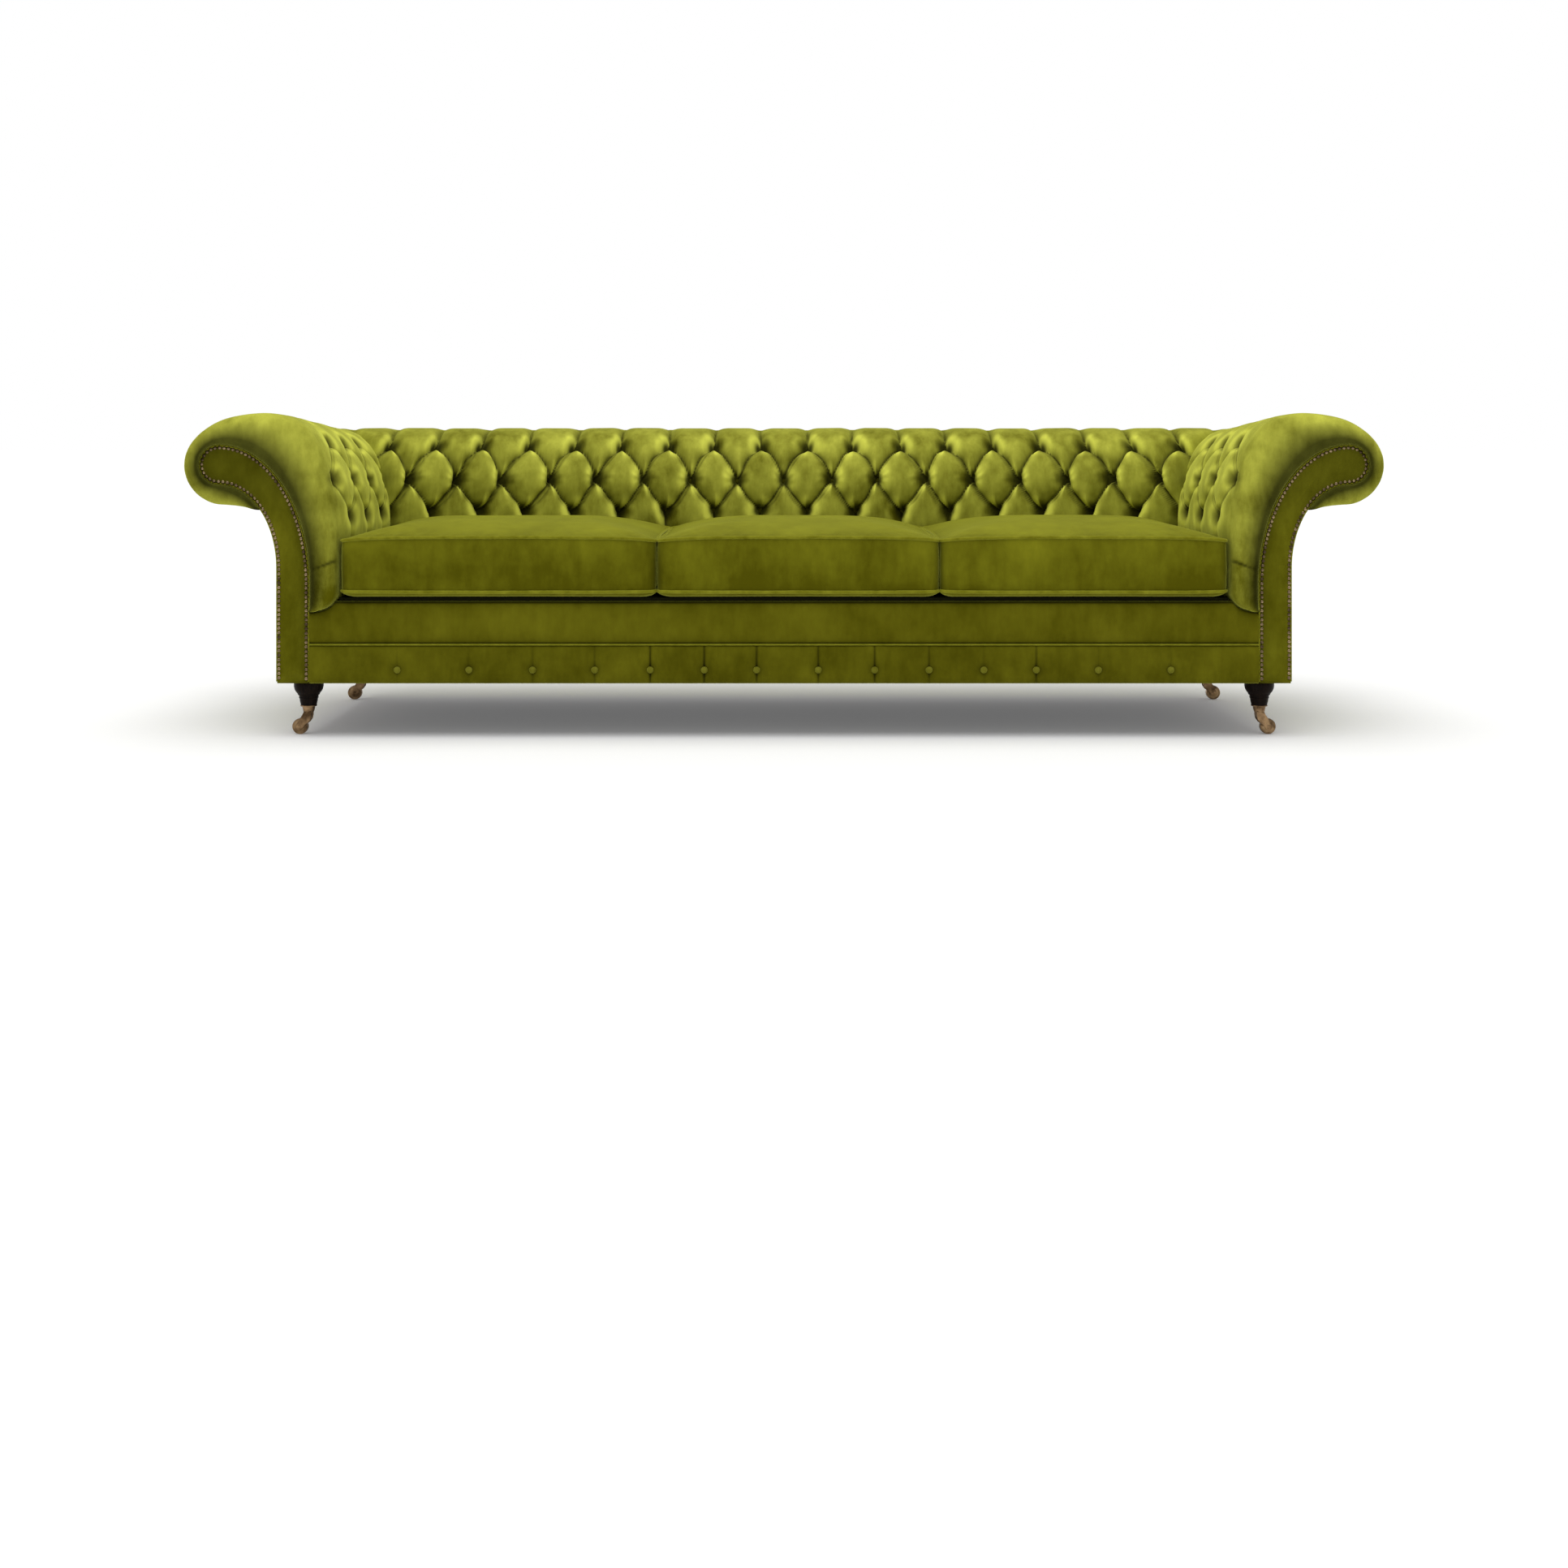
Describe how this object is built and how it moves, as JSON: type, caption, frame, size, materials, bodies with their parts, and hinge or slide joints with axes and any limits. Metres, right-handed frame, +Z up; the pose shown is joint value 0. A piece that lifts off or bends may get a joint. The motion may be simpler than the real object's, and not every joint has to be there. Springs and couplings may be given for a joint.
{
  "type": "chesterfield sofa",
  "caption": "Three-seat chesterfield sofa in olive green velvet with scroll arms, deep buttoned back and arms, nailed facings, turned legs and brass castors.",
  "frame": {"origin": "on the floor under the middle of the sofa", "axes": "+X to the right as seen from the front, +Y to the rear, +Z up"},
  "size_m": [2.886, 0.95, 0.7813],
  "materials": {
    "velvet": "cotton velvet, olive green",
    "cushion_velvet": "cotton velvet, olive green",
    "border_velvet": "cotton velvet, olive green, in its darker lie",
    "button_velvet": "velvet covered buttons",
    "frame_wood": "sawn beech, unfinished",
    "leg_wood": "dark stain, satin",
    "webbing": "woven jute webbing",
    "hessian": "woven hessian",
    "deck_cloth": "lining cloth over a stuffed platform",
    "dust_cloth": "black lining cloth",
    "foam": "foam in a calico wrap",
    "brass": "aged, polished by use"
  },
  "bodies": {
    "sofa_frame": {"arm_hessian": "hessian", "arm_tack_rails": "frame_wood", "arm_top_rails": "frame_wood", "back_buttons": "button_velvet", "back_hessian": "hessian", "back_tack_rail": "frame_wood", "back_top_rail": "frame_wood", "back_uprights": "frame_wood", "castor_plates": "brass", "corner_blocks": "frame_wood", "cross_rails": "frame_wood", "dust_cover": "dust_cloth", "front_border": "border_velvet", "front_seat_rail": "frame_wood", "inside_back": "velvet", "left_arm_buttons": "button_velvet", "left_arm_front_board": "frame_wood", "left_arm_rear_board": "frame_wood", "left_facing": "border_velvet", "left_inside_arm": "velvet", "left_outside_arm": "velvet", "left_side_rail": "frame_wood", "outside_back": "velvet", "plinth_band": "border_velvet", "plinth_buttons": "button_velvet", "rear_seat_rail": "frame_wood", "right_arm_buttons": "button_velvet", "right_arm_front_board": "frame_wood", "right_arm_rear_board": "frame_wood", "right_facing": "border_velvet", "right_inside_arm": "velvet", "right_outside_arm": "velvet", "right_side_rail": "frame_wood", "seat_deck": "deck_cloth", "seat_webbing": "webbing", "turned_legs": "leg_wood"},
    "cushion_left": {"seat_cushion_left": "cushion_velvet", "cushion_core_left": "foam"},
    "cushion_centre": {"seat_cushion_centre": "cushion_velvet", "cushion_core_centre": "foam"},
    "cushion_right": {"seat_cushion_right": "cushion_velvet", "cushion_core_right": "foam"},
    "front_left_swivel": {"front_left_castor_horn": "brass"},
    "front_left_roller": {"front_left_castor_wheel": "brass"},
    "front_right_swivel": {"front_right_castor_horn": "brass"},
    "front_right_roller": {"front_right_castor_wheel": "brass"},
    "rear_left_swivel": {"rear_left_castor_horn": "brass"},
    "rear_left_roller": {"rear_left_castor_wheel": "brass"},
    "rear_right_swivel": {"rear_right_castor_horn": "brass"},
    "rear_right_roller": {"rear_right_castor_wheel": "brass"}
  },
  "joints": [
    {"name": "lift_left_cushion", "type": "slide", "parent": "sofa_frame", "child": "cushion_left", "axis": [0, 0, 1], "range_m": [0, 0.5]},
    {"name": "lift_centre_cushion", "type": "slide", "parent": "sofa_frame", "child": "cushion_centre", "axis": [0, 0, 1], "range_m": [0, 0.5]},
    {"name": "lift_right_cushion", "type": "slide", "parent": "sofa_frame", "child": "cushion_right", "axis": [0, 0, 1], "range_m": [0, 0.5]},
    {"name": "front_left_castor_swivel", "type": "hinge", "parent": "sofa_frame", "child": "front_left_swivel", "pos_m": [-1.16, -0.377, 0.058], "axis": [0, 0, 1], "continuous": true},
    {"name": "front_left_castor_roll", "type": "hinge", "parent": "front_left_swivel", "child": "front_left_roller", "pos_m": [-1.18, -0.377, 0.019], "axis": [0, 1, 0], "continuous": true},
    {"name": "front_right_castor_swivel", "type": "hinge", "parent": "sofa_frame", "child": "front_right_swivel", "pos_m": [1.16, -0.377, 0.058], "axis": [0, 0, 1], "continuous": true},
    {"name": "front_right_castor_roll", "type": "hinge", "parent": "front_right_swivel", "child": "front_right_roller", "pos_m": [1.18, -0.377, 0.019], "axis": [0, 1, 0], "continuous": true},
    {"name": "rear_left_castor_swivel", "type": "hinge", "parent": "sofa_frame", "child": "rear_left_swivel", "pos_m": [-1.16, 0.228, 0.058], "axis": [0, 0, 1], "continuous": true},
    {"name": "rear_left_castor_roll", "type": "hinge", "parent": "rear_left_swivel", "child": "rear_left_roller", "pos_m": [-1.18, 0.228, 0.019], "axis": [0, 1, 0], "continuous": true},
    {"name": "rear_right_castor_swivel", "type": "hinge", "parent": "sofa_frame", "child": "rear_right_swivel", "pos_m": [1.16, 0.228, 0.058], "axis": [0, 0, 1], "continuous": true},
    {"name": "rear_right_castor_roll", "type": "hinge", "parent": "rear_right_swivel", "child": "rear_right_roller", "pos_m": [1.18, 0.228, 0.019], "axis": [0, 1, 0], "continuous": true}
  ]
}
